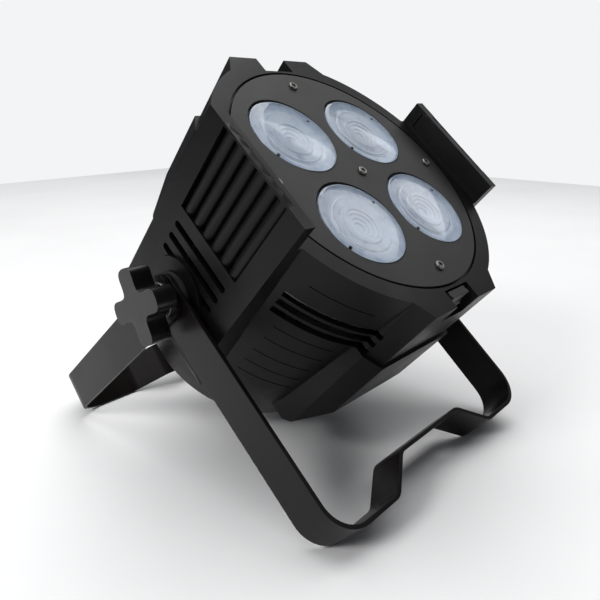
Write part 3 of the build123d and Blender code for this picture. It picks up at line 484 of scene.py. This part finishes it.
# ---------------------------------------------------------------------------
# Face plate: a punched steel disc in matte black powder coat, held by five
# stainless screws that go through it into the standoffs.
# ---------------------------------------------------------------------------
# Baked powder: matte, with an orange peel 1.2 mm across.
powder_matte = grained("Powder_Coat_Matte_Black", ("#161617", "#1b1b1c"), 1.2 * mm, 0.03 * mm,
                       (0.5, 0.6), 60 * mm, IOR=1.5, Specular_IOR_Level=0.5)
soften("face_plate", 0.4 * mm, powder_matte)

# Cold-headed steel: dark satin grey, brighter on the rounded edge of the head.
stainless = grained("Stainless_Steel_Cold_Headed", ("#6e6d6b", "#85837f"), 0.4 * mm, 0.01 * mm,
                    (0.3, 0.42), 2 * mm, Metallic=1.0)
soften("face_screws", 0.2 * mm, stainless)

# ---------------------------------------------------------------------------
# Frame latch: a moulded nylon catch on a steel pin, in the bottom pocket.
# ---------------------------------------------------------------------------
soften("frame_latch", 0.3 * mm, nylon_black)
soften("latch_pin", 0.2 * mm, zinc_plate)

# ---------------------------------------------------------------------------
# Rear panel: a punched steel disc in matte powder, with the display, four
# keys, the mains inlet, its fuse, two data sockets and the safety eye.
# ---------------------------------------------------------------------------
soften("rear_panel", 0.4 * mm, powder_matte)
soften("rear_screws", 0.2 * mm, zinc_plate)
soften("safety_eye", 0.2 * mm, zinc_plate)

# Tinted sheet: dark red-brown and see-through, with a hard gloss.
smoked = grained("Acrylic_Cast_Smoked", ("#552626", "#5e2d2d"), 3 * mm, 0.004 * mm, (0.03, 0.06), 20 * mm,
                 IOR=1.49, Transmission_Weight=0.9)
soften("display_window", 0.3 * mm, smoked)
# Potted face of the unlit digits: near black, warmer than the panel.
display_black = grained("Epoxy_Display_Face", ("#1a1010", "#221414"), 0.3 * mm, 0.005 * mm,
                        (0.3, 0.4), 8 * mm)
soften("display_module", 0.3 * mm, display_black)

# Satin grey caps, with a fine spark-eroded texture.
key_grey = grained("ABS_Moulded_Grey", ("#4e4f52", "#595a5d"), 0.3 * mm, 0.01 * mm, (0.35, 0.45),
                   5 * mm, IOR=1.53)
for name in ("menu", "down", "up", "enter"):
    soften(f"{name}_button", 0.6 * mm, key_grey)

# Nickel over a zinc casting: warm grey, satin, with soft unevenness.
nickel = grained("Zinc_Cast_Nickel_Plated", ("#9d9b95", "#b4b1a9"), 0.5 * mm, 0.01 * mm,
                 (0.25, 0.4), 4 * mm, Metallic=1.0)
for name in ("power_inlet", "fuse_holder"):
    soften(name, 0.3 * mm, nylon_black)
for name in ("dmx_in_socket", "dmx_out_socket"):
    soften(name, 0.3 * mm, nickel)

# ---------------------------------------------------------------------------
# Yokes: 30 x 3 mm steel strip, sheared, bent and powder coated satin black.
# Splayed out they stand on the floor; closed together they hang the lamp.
# ---------------------------------------------------------------------------
# Satin powder: black, with a warm brown tint that is a painted reflection of a warm floor, and an orange peel
# 1.4 mm across in its gloss.
powder_satin_painted_warmth = grained("Powder_Coat_Satin_Black", ("#0e0b0a", "#151110"), 1.4 * mm, 0.04 * mm,
                       (0.3, 0.4), 45 * mm, IOR=1.5, Specular_IOR_Level=0.22)
soften("front_yoke", 0.6 * mm, powder_satin_painted_warmth)
soften("rear_yoke", 0.6 * mm, powder_satin_painted_warmth)

# ---------------------------------------------------------------------------
# Pivots: pressed fibre washers grip the yoke arms; a stud with a nut inside
# the housing and a lobed knob outside clamps each side.
# ---------------------------------------------------------------------------
# Pressed paper fibre: dull, dry and slightly brown.
fibre = grained("Vulcanised_Fibre_Black", ("#151413", "#1e1c1b"), 0.4 * mm, 0.03 * mm, (0.6, 0.75),
                8 * mm)
for name in ("friction_washers", "arm_washers"):
    soften(name, 0.2 * mm, fibre)
soften("knob_washers", 0.3 * mm, zinc_plate)
soften("pivot_nuts", 0.4 * mm, zinc_plate)

# Phenolic from a polished tool: deep black with a soft, slightly wavy gloss.
phenolic = grained("Phenolic_Moulded_Black", ("#0d0d0e", "#121214"), 1.5 * mm, 0.01 * mm,
                   (0.26, 0.38), 12 * mm, IOR=1.6, Specular_IOR_Level=0.3)
for side in ("left", "right"):
    soften(f"{side}_knob_stud", 0.3 * mm, zinc_plate)

# Each knob is a star of four lobes on a round hub. Its outline is drawn by
# sixteen corners, three to a lobe and one drawn in to each valley.
knob_low, knob_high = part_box("left_knob")
knob_height = knob_high.x - knob_low.x
hub_height, hub_radius, hub_sunk = 3.2 * mm, 9.5 * mm, 2 * mm
star_height = knob_height - hub_height
corner_radius, valley_share = 25.4 * mm, 0.25
valley_bearing = radians(21)
bpy.ops.object.select_all(action="DESELECT")
bpy.ops.mesh.primitive_circle_add(vertices=16, radius=corner_radius, fill_type="NGON",
                                  location=(0, 0, -star_height / 2))
knob_model = bpy.context.active_object
bpy.ops.object.transform_apply(location=True)
bpy.ops.object.mode_set(mode="EDIT")
bpy.ops.mesh.select_all(action="DESELECT")
bpy.ops.object.mode_set(mode="OBJECT")
for vertex in knob_model.data.vertices:
    quarter = degrees(atan2(vertex.co.y, vertex.co.x)) % 90
    vertex.select = min(quarter, 90 - quarter) < 5
bpy.ops.object.mode_set(mode="EDIT")
bpy.ops.transform.resize(value=(valley_share, valley_share, 1), center_override=(0, 0, 0))
bpy.ops.object.mode_set(mode="OBJECT")
outline = knob_model.modifiers.new("outline", "SUBSURF")
outline.levels = 3
outline.render_levels = 3
bpy.ops.object.modifier_apply(modifier=outline.name)
bpy.ops.object.mode_set(mode="EDIT")
bpy.ops.mesh.select_all(action="SELECT")
bpy.ops.mesh.extrude_region_move(TRANSFORM_OT_translate={"value": (0, 0, star_height)})
bpy.ops.mesh.select_all(action="SELECT")
bpy.ops.mesh.normals_make_consistent(inside=False)
bpy.ops.object.mode_set(mode="OBJECT")
round_edges(knob_model, 1.4 * mm, segments=4, turn=50, smooth=40)
bpy.ops.object.select_all(action="DESELECT")
bpy.ops.mesh.primitive_cylinder_add(vertices=64, radius=hub_radius, depth=hub_height + hub_sunk,
                                    location=(0, 0, (hub_sunk - knob_height) / 2))
round_edges(bpy.context.active_object, 0.5 * mm, segments=3, smooth=40)
knob_model.select_set(True)
bpy.context.view_layer.objects.active = knob_model
bpy.ops.object.join()
for side, facing in (("left", -1), ("right", 1)):
    knob = bpy.data.objects.new(f"{side}_knob_moulded", knob_model.data.copy())
    scene.collection.objects.link(knob)
    outwards = Vector((facing, 0, 0))
    turn = Matrix((upwards, outwards.cross(upwards), outwards)).transposed().to_4x4()
    turn.translation = pivot + outwards * (abs(knob_low.x) - star_height / 2)
    knob.data.transform(turn @ Matrix.Rotation(valley_bearing, 4, "Z"))
    knob.data.materials.append(phenolic)
    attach(knob, nodes[f"{side}_knob"]["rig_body"])
    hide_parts(f"{side}_knob")
bpy.data.objects.remove(knob_model)
